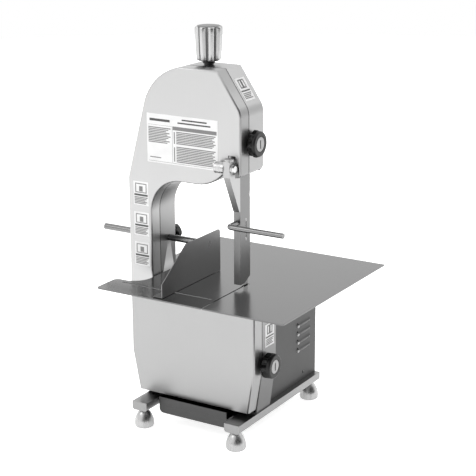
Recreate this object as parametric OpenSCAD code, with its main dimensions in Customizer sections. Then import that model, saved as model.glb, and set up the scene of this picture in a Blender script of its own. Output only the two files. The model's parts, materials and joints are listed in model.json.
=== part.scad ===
// Tabletop bone saw: C-shaped sheet-metal frame, two hinged front doors,
// 1650 mm blade over two wheels, fixed table with fence, direct-drive motor.
// X runs to the operator's right, Y to the back, Z up. Every module is drawn
// in the machine's own layout and moved by placed() to the part's origin.

/* [Frame profile] */
// Left edge of the column and the lower body
body_left = -285; // [-300:1:-275]
// Inner edge of the column, at the throat
column_right = -226; // [-228:1:-220]
// Right edge of the head
head_right = 0; // [-2:1:10]
// Right edge of the lower body
lower_right = 32; // [28:1:45]
// Height of the head's flat top
head_top = 812; // [808:1:860]
// Height of the flat roof of the throat
throat_roof = 567; // [540:1:568]
// Underside of the head at its right end
head_under = 595; // [585:1:598]
// Top of the lower body, under the table
lower_top = 312; // [308:1:320]
// Depth from the door's face to the back wall's outer face
body_depth = 92; // [90:1:110]
// Sheet thickness of the frame and the doors
sheet = 2.5; // [2:0.1:3]

/* [Doors] */
// Depth of the door pans
door_depth = 32; // [28:1:34]
// Running gap between a door and what it closes on
door_gap = 0.4; // [0.3:0.1:1]
// Height of the underside of the lower door
door_bottom = 74; // [73:1:90]
// Distance of the hinge axis outside the left edge
hinge_out = 6; // [6:0.5:10]
// Radius of a hinge barrel
hinge_r = 5; // [4:0.5:5.5]
// Radius of a hinge pin
hinge_pin_r = 3; // [2:0.5:3.5]
// Height of the upper door's knob
upper_knob_z = 660; // [640:1:690]
// Height of the lower door's knob
lower_knob_z = 177; // [160:1:250]
// Radius of a door knob
door_knob_r = 29; // [24:1:32]
// Length of a door knob
door_knob_len = 18; // [17:1:24]

/* [Blade and wheels] */
// Inner length of the blade loop
blade_length = 1650; // [1640:1:1700]
// Width of the blade
blade_w = 16; // [13:1:16]
// Thickness of the blade
blade_t = 0.8; // [0.5:0.1:1]
// Place of the right-hand blade run
blade_x = -19.5; // [-22:0.5:-17]
// Front edge of the blade, where the teeth are
blade_front = 43; // [42:1:45]
// Radius of a blade wheel's rim
wheel_r = 106; // [105:0.5:107]
// Width of a wheel's rim
rim_w = 17.5; // [16:0.5:20]
// How far the tension screw lowers the upper wheel
tension_travel = 4.375; // [3.5:0.875:4.375]

/* [Table and fence] */
// Height of the table's top
table_z = 346; // [340:1:360]
// Thickness of the table sheet
table_t = 3; // [2:0.5:4]
// Left edge of the table
table_left = -286; // [-300:1:-275]
// Right edge of the table
table_right = 173; // [120:1:260]
// Front edge of the table
table_front = -125; // [-160:1:-100]
// Back edge of the table
table_back = 335; // [330:1:400]
// Place of the slot that the fence's lock screw slides in
fence_slot_y = -66.5; // [-80:0.5:-60]
// Right face of the fence plate
fence_x = -121; // [-140:1:-100]
// Height of the fence plate above the table
fence_h = 96; // [80:1:110]
// Diameter of the fence rod
rod_d = 14.5; // [12:0.5:16]
// Height of the fence rod
rod_z = 418; // [400:1:430]

/* [Blade guard] */
// Height of the guard's lower end above the table
guard_lift = 9; // [6:1:30]
// Width of the guard's front flange
guard_w = 16; // [14:1:18]
// Depth of the guard's side plate
guard_depth = 40; // [36:1:42]
// Thickness of the guard sheet
guard_t = 1.5; // [1:0.5:2]
// Diameter of the guard's handle rod
handle_d = 11.5; // [9:0.5:12]

/* [Base] */
// Width over the two rails
base_w = 278; // [270:1:300]
// Length of a rail
rail_len = 365; // [360:1:420]
// Width of a rail
rail_w = 38; // [34:1:42]
// Height of a rail
rail_h = 20; // [18:1:24]
// Height of the rails' underside above the bench
foot_h = 42; // [38:1:50]
// Diameter of a foot
foot_d = 44; // [38:1:50]

/* [Hidden] */
$fn = 64;
// Steps of an outline's round stretches
arc_steps = 12;
// Diametral play of a turning or sliding fit, halved
fit = 0.05;
// Gap that keeps loosely guided pieces apart
air = 0.3;

door_back = door_depth;
frame_front = door_depth + door_gap;
back_inner = body_depth - sheet;
rail_top = foot_h + rail_h;
base_left = (body_left + lower_right) / 2 + 8 - base_w / 2;
base_right = base_left + base_w;
rail_front = -44;
rail_back = rail_front + rail_len;

// Wheels: the blade's two straight runs are one wheel's width apart
blade_gap = 0.1;
wheel_x = blade_x + blade_t / 2 - blade_gap - blade_t - wheel_r;
upper_z = head_top - sheet - wheel_r - 16.5;
lower_z = upper_z - (blade_length - 2 * PI * wheel_r) / 2;
blade_back = blade_front + blade_w;
rim_front = blade_front + 2;
flange_r = wheel_r + 2.5;
flange_y = blade_back + 0.5;
wheel_back = rim_front + rim_w;

// Table
table_under = table_z - table_t;
notch_x = column_right + 4;
notch_front = -52;
notch_r = 40;
notch_back = body_depth + 20;
wing_back_left = -272;
slot_w = 5;

// Guard
guard_side_x = blade_x + 6;
guard_flange_y = 20;
guard_bottom = table_z + guard_lift;
guard_top = 640;
guard_travel = 45;
guard_knob_r = 12;
guard_screw_y = -guard_knob_r - 0.6;
guard_screw_z = 615;
handle_z = 491;
handle_y = -15;
handle_right = 110;
arm_front = -22;
arm_top = 631;
arm_shoulder = 597;
arm_foot = 516;

// Fence
rod_y = 68;
rod_left = -400;
fence_front = -117;
fence_back = 112;
fence_t = 2;
fence_foot_w = 23;
fence_z = table_z + 0.6;
clamp_x = -241;

hinge_x = body_left - hinge_out;
hinge_y = door_depth + 4;
knob_y = 43;
latch_r = 5;

// Motor housing
housing_left = -246;
housing_right = 8;
housing_back = 318;
housing_t = 2;

tension_x = -113;
tension_y = 60;

// The origin lies under the middle of the whole machine, on the bench
origin_x = (rod_left + table_right) / 2;
origin_y = (table_front + table_back) / 2;

module placed() { translate([-origin_x, -origin_y, 0]) children(); }

// Points of an arc from angle a0 to a1
function arc(cx, cy, r, a0, a1, n = arc_steps) =
    [for (i = [0 : n]) let (a = a0 + (a1 - a0) * i / n) [cx + r * cos(a), cy + r * sin(a)]];

// Points of an arc of radius r from a to b that bulges to the left of that direction
function bow(a, b, r, n = arc_steps) = let (
    h = norm(b - a) / 2, u = (b - a) / (2 * h), c = (a + b) / 2 + [u.y, -u.x] * sqrt(r * r - h * h),
    t0 = atan2(a.y - c.y, a.x - c.x), t1 = atan2(b.y - c.y, b.x - c.x))
    [for (i = [0 : n]) let (t = t0 + (t1 - t0) * i / n) c + r * [cos(t), sin(t)]];

// Outline of a counter-clockwise polygon moved inwards by d, corners mitred
function inset(p, d) = [for (i = [0 : len(p) - 1])
    let (a = p[(i + len(p) - 1) % len(p)], b = p[i], c = p[(i + 1) % len(p)],
         u = (b - a) / norm(b - a), v = (c - b) / norm(c - b),
         m = [-u.y - v.y, u.x + v.x], k = 2 * d / (m * m))
    b + m * k];

// Extrudes an outline drawn in X and Z from y0 to y1
module upright(y0, y1) {
    translate([0, y1, 0]) rotate([90, 0, 0]) linear_extrude(y1 - y0) children();
}
// Cylinder along Y from y0 to y1
module rod_along_y(x, z, r, y0, y1) {
    translate([x, y1, z]) rotate([90, 0, 0]) cylinder(h = y1 - y0, r = r);
}
// Cylinder along X from x0 to x1
module rod_along_x(y, z, r, x0, x1) {
    translate([x0, y, z]) rotate([0, 90, 0]) cylinder(h = x1 - x0, r = r);
}
// Block from its lowest corner to its highest
module block(a, b) { translate(a) cube(b - a); }

// Head and column from the throat's floor line upwards, counter-clockwise
shoulder_x = -239;
shoulder_z = head_top - 77;
crown_x = -145;
crown_right = -55;
crown_r = 117;
brow_r = 40;
brow_a = 34;
brow_z = head_top - brow_r * sin(brow_a)
    - (head_right - brow_r + brow_r * cos(brow_a) - crown_right) / tan(brow_a);
throat_r = 76;
ramp_x = -110;
ramp_end = -45;
ramp_h = head_under - throat_roof;
ramp_r = (pow(ramp_end - ramp_x, 2) + ramp_h * ramp_h) / (2 * ramp_h);
ramp_a = asin((ramp_end - ramp_x) / ramp_r);
corner_r = 6;
function throat_line() = concat(
    arc(head_right - corner_r, head_under + corner_r, corner_r, 0, -90, 4),
    [for (p = arc(ramp_x, throat_roof + ramp_r, ramp_r, -90 + ramp_a, -90)) p],
    arc(column_right + throat_r, throat_roof - throat_r, throat_r, 90, 180));
function crown_line() = concat(
    [[body_left, shoulder_z - 173]],
    bow([shoulder_x, shoulder_z], [crown_x, head_top], crown_r),
    [[crown_right, head_top]],
    arc(head_right - brow_r, brow_z, brow_r, brow_a, 0, 5));
function reversed(p) = [for (i = [len(p) - 1 : -1 : 0]) p[i]];

// Counter-clockwise outline of the upper door, ending at height z
function upper_outline(z) = reversed(concat(
    [[column_right, z], [body_left, z]], crown_line(), throat_line()));
// Counter-clockwise outline of the lower body between two heights
waist_z = 165;
foot_in = 18;
function lower_outline(z0, z1) = [
    [body_left + foot_in, z0], [lower_right - foot_in * 0.8, z0],
    [lower_right, waist_z], [lower_right, z1], [body_left, z1], [body_left, waist_z]];
// Counter-clockwise outline of the whole frame
function frame_outline() = reversed(concat(
    [[lower_right - foot_in * 0.8, rail_top], [body_left + foot_in, rail_top],
     [body_left, waist_z]],
    crown_line(), throat_line(),
    [[column_right, lower_top], [lower_right, lower_top], [lower_right, waist_z]]));

// Side view of the bend between the head's underside and its back wall
under_bend = 14;
function under_arc(r) = arc(body_depth - under_bend, head_under + under_bend, r, -90, 0, 8);

module frame_shell() placed() color([0.72, 0.73, 0.74]) {
    blade_gate = [blade_x - 21, blade_x + 11];
    difference() {
        union() {
            upright(frame_front, body_depth) difference() {
                polygon(frame_outline());
                polygon(inset(frame_outline(), sheet));
            }
            upright(back_inner, body_depth) polygon(frame_outline());
            // bend at the back of the head's underside, one sheet thick
            translate([ramp_end, 0, 0]) rotate([90, 0, 90]) linear_extrude(head_right - ramp_end - 1)
                polygon(concat(under_arc(under_bend), reversed(under_arc(under_bend - sheet))));
        }
        // what that bend takes away from the box shape
        translate([ramp_end, 0, 0]) rotate([90, 0, 90]) linear_extrude(head_right - ramp_end + 1)
            polygon(concat(under_arc(under_bend), [[body_depth + 1, head_under + under_bend],
                           [body_depth + 1, head_under - 1], [body_depth - under_bend, head_under - 1]]));
        // gate for the guard and the blade in the head's underside, open to the front
        block([blade_gate[0], door_depth - 1, head_under - 1],
              [blade_gate[1], blade_back + 5, head_under + 27]);
        // slot for the blade in the top of the lower body
        block([blade_x - 5, blade_front - 3, lower_top - sheet - 1],
              [blade_x + 5, blade_back + 5, lower_top + 1]);
        // fence rod through both walls of the column
        rod_along_x(rod_y, rod_z, rod_d / 2 + fit, body_left - 1, column_right + 1);
        // rod clamp screw, motor shaft and latch studs
        rod_along_y(clamp_x, rod_z, 4 + fit, back_inner - 1, body_depth + 1);
        rod_along_y(wheel_x, lower_z, 16, back_inner - 1, body_depth + 1);
        rod_along_x(knob_y, upper_knob_z, latch_r + fit, head_right - sheet - 1, head_right + 1);
        rod_along_x(knob_y, lower_knob_z, latch_r + fit, lower_right - sheet - 1, lower_right + 1);
        // tension screw through the head's top
        translate([tension_x, tension_y, head_top - sheet - 1]) cylinder(h = sheet + 2, r = 6 + fit);
        // drain over the drip tray
        block([wheel_x - 60, frame_front + 8, rail_top - 1],
              [wheel_x + 60, back_inner - 8, rail_top + sheet + 1]);
    }
}

// Housing behind the lower body, open to the front and the back
louvre_n = 4;
louvre_pitch = 20;
louvre_z = 143;
louvre_len = 55;
louvre_y = 234;
module motor_housing() placed() color([0.42, 0.42, 0.43]) {
    difference() {
        union() {
            upright(body_depth, housing_back) difference() {
                polygon([[housing_left, rail_top], [housing_right, rail_top],
                         [housing_right, lower_top], [housing_left, lower_top]]);
                polygon([[housing_left + housing_t, rail_top + housing_t],
                         [housing_right - housing_t, rail_top + housing_t],
                         [housing_right - housing_t, lower_top - housing_t],
                         [housing_left + housing_t, lower_top - housing_t]]);
            }
            // louvre hoods on the right-hand side
            for (i = [0 : louvre_n - 1])
                translate([housing_right - 0.5, louvre_y + louvre_len, louvre_z + i * louvre_pitch])
                    rotate([90, 0, 0]) linear_extrude(louvre_len)
                        polygon([[0, 6], [3.5, 0], [3.5, -1.5], [0, 4]]);
        }
        for (i = [0 : louvre_n - 1])
            block([housing_right - housing_t - 1, louvre_y + 2, louvre_z + i * louvre_pitch - 1],
                  [housing_right + 0.4, louvre_y + louvre_len - 2, louvre_z + i * louvre_pitch + 3.5]);
    }
}

module housing_rear_cover() placed() color([0.42, 0.42, 0.43]) {
    difference() {
        union() {
            block([housing_left, housing_back, rail_top],
                  [housing_right, housing_back + housing_t, lower_top]);
            // flange that fits inside the housing
            upright(housing_back - 12, housing_back) difference() {
                in = housing_t + air;
                polygon([[housing_left + in, rail_top + in], [housing_right - in, rail_top + in],
                         [housing_right - in, lower_top - in], [housing_left + in, lower_top - in]]);
                w = in + housing_t;
                polygon([[housing_left + w, rail_top + w], [housing_right - w, rail_top + w],
                         [housing_right - w, lower_top - w], [housing_left + w, lower_top - w]]);
            }
        }
        // vent slots behind the motor's fan
        for (i = [-3 : 3])
            block([wheel_x - 45, housing_back - 1, lower_z + i * 16 - 3],
                  [wheel_x + 45, housing_back + housing_t + 1, lower_z + i * 16 + 3]);
        rod_along_y(gland_x, gland_z, gland_r, housing_back - 1, housing_back + housing_t + 1);
    }
}

gland_x = -205;
gland_z = 96;
gland_r = 10;
cord_r = 4.5;
module cord_gland() placed() color([0.08, 0.08, 0.08]) {
    y0 = housing_back - 10;
    y1 = housing_back + housing_t;
    difference() {
        union() {
            rod_along_y(gland_x, gland_z, gland_r, y0, y1);
            rod_along_y(gland_x, gland_z, gland_r + 4, y1, y1 + 5);
            rod_along_y(gland_x, gland_z, gland_r - 1, y1 + 5, y1 + 14);
            rod_along_y(gland_x, gland_z, gland_r + 4, housing_back - 10, housing_back - 2);
        }
        rod_along_y(gland_x, gland_z, cord_r, y0 - 1, y1 + 15);
    }
}

// Rails, braces and feet
foot_in_x = rail_w / 2;
foot_in_y = 18;
foot_places = [[base_left + foot_in_x, rail_front + foot_in_y],
               [base_right - foot_in_x, rail_front + foot_in_y],
               [base_left + foot_in_x, rail_back - foot_in_y],
               [base_right - foot_in_x, rail_back - foot_in_y]];
rail_wall = 2.5;
function rail_profile(w, h, r) = concat(
    [[w / 2, h], [-w / 2, h]], arc(-w / 2 + r, r, r, 180, 270, 6), arc(w / 2 - r, r, r, 270, 360, 6));
module rail(x) {
    difference() {
        translate([x, 0, foot_h]) upright(rail_front, rail_back)
            polygon(rail_profile(rail_w, rail_h, 6));
        translate([x, 0, foot_h + rail_wall]) upright(rail_front + rail_wall, rail_back - rail_wall)
            polygon(rail_profile(rail_w - 2 * rail_wall, rail_h - 2 * rail_wall, 3.5));
        for (p = foot_places) translate([p.x, p.y, foot_h - 1]) cylinder(h = rail_wall + 2, r = 5 + fit);
    }
}
module rail_left() placed() color([0.62, 0.63, 0.64]) rail(foot_places[0].x);
module rail_right() placed() color([0.62, 0.63, 0.64]) rail(foot_places[1].x);

brace_y = [252, rail_back - 24];
module base_braces() placed() color([0.6, 0.6, 0.61])
    for (y = brace_y)
        block([base_left + rail_w, y, foot_h + 2], [base_right - rail_w, y + 20, rail_top]);

module foot(p) {
    top = foot_h - 1;
    translate([p.x, p.y, 0]) difference() {
        rotate_extrude() polygon(concat(
            [[0, 0]], arc(foot_d / 2 - 12, 12 * sin(66), 12, -66, 30, 14),
            [[10, top - 4], [9.5, top], [0, top]]));
        translate([0, 0, top - 20]) cylinder(h = 21, r = 5);
    }
}
module foot_front_left() placed() color([0.8, 0.8, 0.82]) foot(foot_places[0]);
module foot_front_right() placed() color([0.8, 0.8, 0.82]) foot(foot_places[1]);
module foot_rear_left() placed() color([0.8, 0.8, 0.82]) foot(foot_places[2]);
module foot_rear_right() placed() color([0.8, 0.8, 0.82]) foot(foot_places[3]);
module foot_studs() placed() color([0.7, 0.7, 0.7])
    for (p = foot_places) translate([p.x, p.y, 0]) {
        translate([0, 0, foot_h - 21]) cylinder(h = 34, r = 5);
        translate([0, 0, foot_h - 1]) cylinder(h = 1, r = 9);
        translate([0, 0, foot_h + rail_wall]) cylinder(h = 7, r = 8.5, $fn = 6);
    }

// Drip tray on two runners between the rails
tray_mid = (base_left + base_right) / 2;
tray_w = 176;
tray_front = -12;
tray_back = 236;
tray_floor = 34;
tray_rim = 55;
tray_lip_top = door_bottom - 3;
tray_t = 1.5;
runner_x = base_w / 2 - rail_w;
module drip_tray() placed() color([0.35, 0.36, 0.37]) {
    w = tray_w / 2;
    flange = runner_x - air * 2;
    difference() {
        union() {
            translate([tray_mid, 0, tray_floor]) upright(tray_front, tray_back)
                polygon(rail_profile(tray_w, tray_rim - tray_floor, 10));
            block([tray_mid - flange, tray_front + 25, tray_rim - tray_t],
                  [tray_mid + flange, tray_back, tray_rim]);
        }
        translate([tray_mid, 0, tray_floor + tray_t]) upright(tray_front + tray_t, tray_back - tray_t)
            polygon(rail_profile(tray_w - 2 * tray_t, tray_rim - tray_floor, 10 - tray_t));
    }
    // turned-up front lip that is also the pull
    block([tray_mid - w, tray_front - 1, tray_rim], [tray_mid + w, tray_front + tray_t, tray_lip_top]);
}
module tray_runners() placed() color([0.6, 0.6, 0.61])
    for (s = [-1, 1]) {
        z1 = tray_rim - tray_t - air;
        wall = s * runner_x + tray_mid;
        block([min(wall, wall - s * 12), 10, z1 - 2], [max(wall, wall - s * 12), brace_y[0], z1]);
        block([min(wall, wall - s * 2), 10, foot_h + 3], [max(wall, wall - s * 2), brace_y[0], z1 - 2]);
    }

// Table: one sheet with a notch for the column, a blade slot and a fence slot
module table() placed() color([0.58, 0.59, 0.6]) {
    outline = concat(
        arc(table_left + 8, table_front + 8, 8, 180, 270, 4),
        arc(table_right - 5, table_front + 5, 5, 270, 360, 3),
        [[table_right, table_back], [wing_back_left, table_back], [wing_back_left, notch_back]],
        arc(notch_x - 12, notch_back - 12, 12, 90, 0, 5),
        arc(notch_x - notch_r, notch_front + notch_r, notch_r, 0, -90, 10),
        arc(table_left + 12, notch_front - 12, 12, 90, 180, 5));
    difference() {
        translate([0, 0, table_under]) linear_extrude(table_t) polygon(outline);
        // blade slot
        block([blade_x - 1.5, table_front - 1, table_under - 1],
              [blade_x + 1.5, blade_front - 4, table_z + 1]);
        block([blade_x - 4, blade_front - 4, table_under - 1], [blade_x + 4, blade_back + 4, table_z + 1]);
        // fence slot with round ends
        translate([0, fence_slot_y, table_under - 1]) linear_extrude(table_t + 2) {
            translate([-256, -slot_w / 2]) square([222, slot_w]);
            translate([-256, 0]) circle(d = slot_w);
            translate([-34, 0]) circle(d = slot_w);
        }
        for (p = table_screw_places)
            translate([p.x, p.y, table_under - 1]) cylinder(h = table_t - 0.5, r = 3 + fit);
    }
}

bracket_x = [-205, 6];
bracket_w = 22;
bracket_t = 3;
bracket_front = fence_slot_y + 22;
table_screw_places = [for (x = bracket_x, y = [bracket_front + 15, 20, housing_back - 28])
    [x + bracket_w / 2, y]];
module table_bracket(x) {
    difference() {
        union() {
            // web that stands on the lower body and the housing, tapered under the front
            translate([x, 0, 0]) rotate([90, 0, 90]) linear_extrude(bracket_t)
                polygon([[bracket_front, table_under], [bracket_front, table_under - 10],
                         [-12, lower_top + 2],
                         [frame_front, lower_top + 2], [frame_front, lower_top],
                         [housing_back - 6, lower_top], [housing_back - 6, table_under]]);
            block([x, bracket_front, table_under - bracket_t],
                  [x + bracket_w, housing_back - 6, table_under]);
            block([x, frame_front, lower_top], [x + bracket_w, housing_back - 6, lower_top + bracket_t]);
        }
        for (p = table_screw_places) translate([p.x, p.y, table_under - bracket_t - 1])
            cylinder(h = bracket_t + 2, r = 3 + fit);
    }
}
module table_bracket_left() placed() color([0.6, 0.6, 0.6]) table_bracket(bracket_x[0]);
module table_bracket_right() placed() color([0.6, 0.6, 0.6]) table_bracket(bracket_x[1]);
module table_screws() placed() color([0.3, 0.3, 0.3])
    for (p = table_screw_places) translate([p.x, p.y, 0]) {
        translate([0, 0, table_under - bracket_t - 6]) cylinder(h = bracket_t + 7, r = 3);
        translate([0, 0, table_under - bracket_t - 8]) cylinder(h = 8, r = 7);
    }

// Latch: a forked tab on the door slips over the knob's stud inside the body wall
tab_gap = 2;
tab_t = 2.5;
module latch_tab(wall_x, z) {
    x1 = wall_x - sheet - tab_gap;
    difference() {
        union() {
            block([x1 - tab_t, 14, z - 20], [x1, knob_y + 14, z + 20]);
            block([x1 - 0.5, 14, z - 20], [wall_x - sheet + 0.5, door_depth - 4, z + 20]);
        }
        block([x1 - tab_t - 1, knob_y, z - latch_r - 0.8], [x1 + 1, knob_y + 15, z + latch_r + 0.8]);
        rod_along_x(knob_y, z, latch_r + 0.8, x1 - tab_t - 1, x1 + 1);
    }
}
// Pressed pan: a skin with a rim all round
module door_pan(outline) {
    upright(0, sheet) polygon(outline);
    upright(0, door_back) difference() {
        polygon(outline);
        polygon(inset(outline, sheet));
    }
}
module upper_door() placed() color([0.84, 0.85, 0.86]) {
    difference() {
        union() {
            door_pan(upper_outline(lower_top));
            latch_tab(head_right, upper_knob_z);
        }
        // notches that the guard's channel and its arm rise into
        block([guard_side_x - guard_w - 7, guard_flange_y - 4, head_under - 1],
              [guard_side_x + 4, door_depth + 1, head_under + 12]);
        block([guard_side_x - guard_w - 1, -1, head_under - 1],
              [guard_side_x + 1, guard_flange_y + 1, arm_shoulder - 3 + guard_travel]);
        block([guard_side_x, -1, head_under - 1], [guard_side_x + 10, guard_flange_y - 3, head_under + 17]);
    }
}
module lower_door() placed() color([0.84, 0.85, 0.86]) {
    door_pan(lower_outline(door_bottom, lower_top - 2));
    latch_tab(lower_right, lower_knob_z);
}

// Hinges: door leaves, frame lugs and pins, all on one upright axis
hinge_z = [[340, 535], [182, 276]];
barrel_h = 14;
module door_leaf(z) {
    difference() {
        union() {
            translate([hinge_x, hinge_y, z]) cylinder(h = barrel_h, r = hinge_r);
            block([hinge_x, hinge_y - hinge_r, z], [body_left, hinge_y - 5.2 + 2, z + barrel_h]);
            block([body_left - 2, 8, z - 8], [body_left, hinge_y - hinge_r + 0.5, z + barrel_h]);
        }
        translate([hinge_x, hinge_y, z - 1]) cylinder(h = barrel_h + 2, r = hinge_pin_r + fit);
    }
}
module frame_lug(z) {
    difference() {
        union() {
            translate([hinge_x, hinge_y, z]) cylinder(h = barrel_h, r = hinge_r);
            block([hinge_x, hinge_y + 1, z], [body_left, hinge_y + hinge_r, z + barrel_h]);
            block([body_left - 2, hinge_y + 1, z - 8], [body_left, hinge_y + 22, z + barrel_h]);
        }
        translate([hinge_x, hinge_y, z - 1]) cylinder(h = barrel_h + 2, r = hinge_pin_r);
    }
}
module upper_door_hinges() placed() color([0.6, 0.6, 0.6])
    for (z = hinge_z[0]) door_leaf(z + barrel_h + door_gap);
module lower_door_hinges() placed() color([0.6, 0.6, 0.6])
    for (z = hinge_z[1]) door_leaf(z + barrel_h + door_gap);
module frame_hinge_lugs() placed() color([0.6, 0.6, 0.6])
    for (group = hinge_z, z = group) frame_lug(z);
module hinge_pins() placed() color([0.7, 0.7, 0.7])
    for (group = hinge_z, z = group) translate([hinge_x, hinge_y, z - 2])
        cylinder(h = 2 * barrel_h + 5, r = hinge_pin_r);

// Door knobs: eight-lobed grips with a dished face
module lobed_knob(r, len, lobes) {
    difference() {
        union() {
            cylinder(h = len, r = r - 2.5);
            for (i = [0 : lobes - 1]) rotate([0, 0, i * 360 / lobes])
                translate([r - 9, 0, 3]) cylinder(h = len - 6, r = 9);
            translate([0, 0, -4]) cylinder(h = 5, r = 11);
        }
        translate([0, 0, len - 1.5]) cylinder(h = 3, r = r * 0.52);
        translate([0, 0, -5]) cylinder(h = len - 2, r = latch_r);
    }
    translate([0, 0, len - 1.5]) cylinder(h = 1, r = r * 0.5);
}
lower_spacer = 5;
module door_knob(wall_x, z)
    translate([wall_x + 4 + air, knob_y, z]) rotate([0, 90, 0])
        lobed_knob(door_knob_r, door_knob_len, 8);
module upper_door_knob() placed() color([0.05, 0.05, 0.05]) door_knob(head_right, upper_knob_z);
module lower_door_knob() placed() color([0.05, 0.05, 0.05]) {
    door_knob(lower_right + lower_spacer, lower_knob_z);
    difference() {
        rod_along_x(knob_y, lower_knob_z, 11, lower_right + air, lower_right + lower_spacer + 1);
        rod_along_x(knob_y, lower_knob_z, latch_r, lower_right, lower_right + lower_spacer + 2);
    }
}
stud_in = 7;
module latch_stud(wall_x, z, spacer)
    rod_along_x(knob_y, z, latch_r, wall_x - sheet - stud_in, wall_x + spacer + air + door_knob_len - 4);
module upper_latch_stud() placed() color([0.7, 0.7, 0.7]) latch_stud(head_right, upper_knob_z, 0);
module lower_latch_stud() placed() color([0.7, 0.7, 0.7]) latch_stud(lower_right, lower_knob_z, lower_spacer);

// Blade tension: fluted knob and screw above, carriage with the upper axle below
knob_base = head_top + 9;
knob_h = 75;
module tension_knob() placed() color([0.85, 0.85, 0.87])
    translate([tension_x, tension_y, knob_base]) difference() {
        rotate_extrude() polygon(concat(
            [[0, 0], [26, 0], [28, 2], [30.5, knob_h - 5]],
            arc(27, knob_h - 4, 3.5, 0, 75, 4), [[0, knob_h]]));
        for (i = [0 : 7]) rotate([0, 0, i * 45 + 22.5])
            translate([35.5, 0, -1]) cylinder(h = knob_h + 2, r = 9, $fn = 32);
        translate([0, 0, -1]) cylinder(h = 41, r = 6);
    }
tab_z = upper_z + flange_r + 3.5;
tab_h = 5.5;
module tension_screw() placed() color([0.7, 0.7, 0.7])
    translate([tension_x, tension_y, 0]) {
        translate([0, 0, tab_z - tension_travel + 4])
            cylinder(h = knob_base + 40 - tab_z + tension_travel - 4, r = 6);
    }
module tension_washers() placed() color([0.12, 0.12, 0.12])
    translate([tension_x, tension_y, 0]) difference() {
        union() {
            translate([0, 0, head_top]) cylinder(h = knob_base - head_top - air, r = 10);
            for (i = [0 : 1]) translate([0, 0, knob_base - air - 2.4 - i * 3]) cylinder(h = 2.4, r = 12.8);
        }
        translate([0, 0, head_top - 1]) cylinder(h = 20, r = 6 + fit);
    }

carriage_w = 120;
guide_spread = 45;
guide_y = 80;
guide_r = 5;
carriage_z = [upper_z - 37, upper_z + 37];
carriage_front = wheel_back + 7.5;
module wheel_carriage() placed() color([0.55, 0.56, 0.57]) {
    difference() {
        union() {
            block([wheel_x - carriage_w / 2, carriage_front, carriage_z[0]],
                  [wheel_x + carriage_w / 2, back_inner - 1.5, carriage_z[1]]);
            block([tension_x - 14, carriage_front - 5, carriage_z[1] - 8],
                  [tension_x + 14, carriage_front + 1, tab_z + tab_h]);
            block([tension_x - 14, tension_y - 13, tab_z],
                  [tension_x + 14, carriage_front + 1, tab_z + tab_h]);
        }
        for (s = [-1, 1]) translate([wheel_x + s * guide_spread, guide_y, carriage_z[0] - 1])
            cylinder(h = 80, r = guide_r + fit);
        rod_along_y(wheel_x, upper_z, 10, carriage_front - 1, back_inner);
        translate([tension_x, tension_y, tab_z - 1]) cylinder(h = tab_h + 2, r = 6 + fit);
    }
}
rod_block_z = [carriage_z[0] - 26, carriage_z[1] + 6];
module carriage_rods() placed() color([0.75, 0.75, 0.76])
    for (s = [-1, 1]) translate([wheel_x + s * guide_spread, guide_y, rod_block_z[0]])
        cylinder(h = rod_block_z[1] + 14 - rod_block_z[0], r = guide_r);
module rod_blocks() placed() color([0.5, 0.5, 0.5])
    for (z = rod_block_z) difference() {
        block([wheel_x - carriage_w / 2, carriage_front + 2, z],
              [wheel_x + carriage_w / 2, back_inner, z + 14]);
        for (s = [-1, 1]) translate([wheel_x + s * guide_spread, guide_y, z - 1])
            cylinder(h = 16, r = guide_r);
    }

// Wheels: flanged rim, ribbed web and hub
hub_front = rim_front - 3;
module wheel(z, bore_r, hub_r, hub_back) {
    difference() {
        union() {
            difference() {
                union() {
                    rod_along_y(wheel_x, z, wheel_r, rim_front, flange_y + 0.5);
                    rod_along_y(wheel_x, z, flange_r, flange_y, wheel_back);
                }
                rod_along_y(wheel_x, z, wheel_r - 9, rim_front - 1, rim_front + 5);
                rod_along_y(wheel_x, z, wheel_r - 9, rim_front + 11, wheel_back + 1);
            }
            rod_along_y(wheel_x, z, hub_r, hub_front, hub_back);
        }
        rod_along_y(wheel_x, z, bore_r, hub_front - 1, hub_back + 1);
        for (i = [0 : 5]) rod_along_y(wheel_x + 64 * cos(i * 60), z + 64 * sin(i * 60), 18,
                                      rim_front - 1, wheel_back + 1);
    }
}
bearing_r = 21;
bearing_w = 12;
hub_back = hub_front + 2 * bearing_w + 1;
module upper_wheel() placed() color([0.7, 0.71, 0.72]) wheel(upper_z, bearing_r, 28, hub_back);
module ring_bearing(x, z, y0, bore_r) {
    difference() {
        rod_along_y(x, z, bearing_r, y0, y0 + bearing_w);
        rod_along_y(x, z, bore_r, y0 - 1, y0 + bearing_w + 1);
        for (y = [y0 - 1, y0 + bearing_w - 1]) difference() {
            rod_along_y(x, z, bearing_r - 3, y, y + 2);
            rod_along_y(x, z, bore_r + 3, y - 1, y + 3);
        }
    }
}
module upper_bearings() placed() color([0.3, 0.3, 0.32])
    for (y = [hub_front, hub_front + bearing_w + 1]) ring_bearing(wheel_x, upper_z, y, 10 + fit);
module upper_axle() placed() color([0.75, 0.75, 0.76]) {
    rod_along_y(wheel_x, upper_z, 10, hub_front - 6, back_inner - 1.5);
    rod_along_y(wheel_x, upper_z, 14, hub_front - 3, hub_front - air);
    rod_along_y(wheel_x, upper_z, 13, hub_back + air, carriage_front);
}

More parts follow.
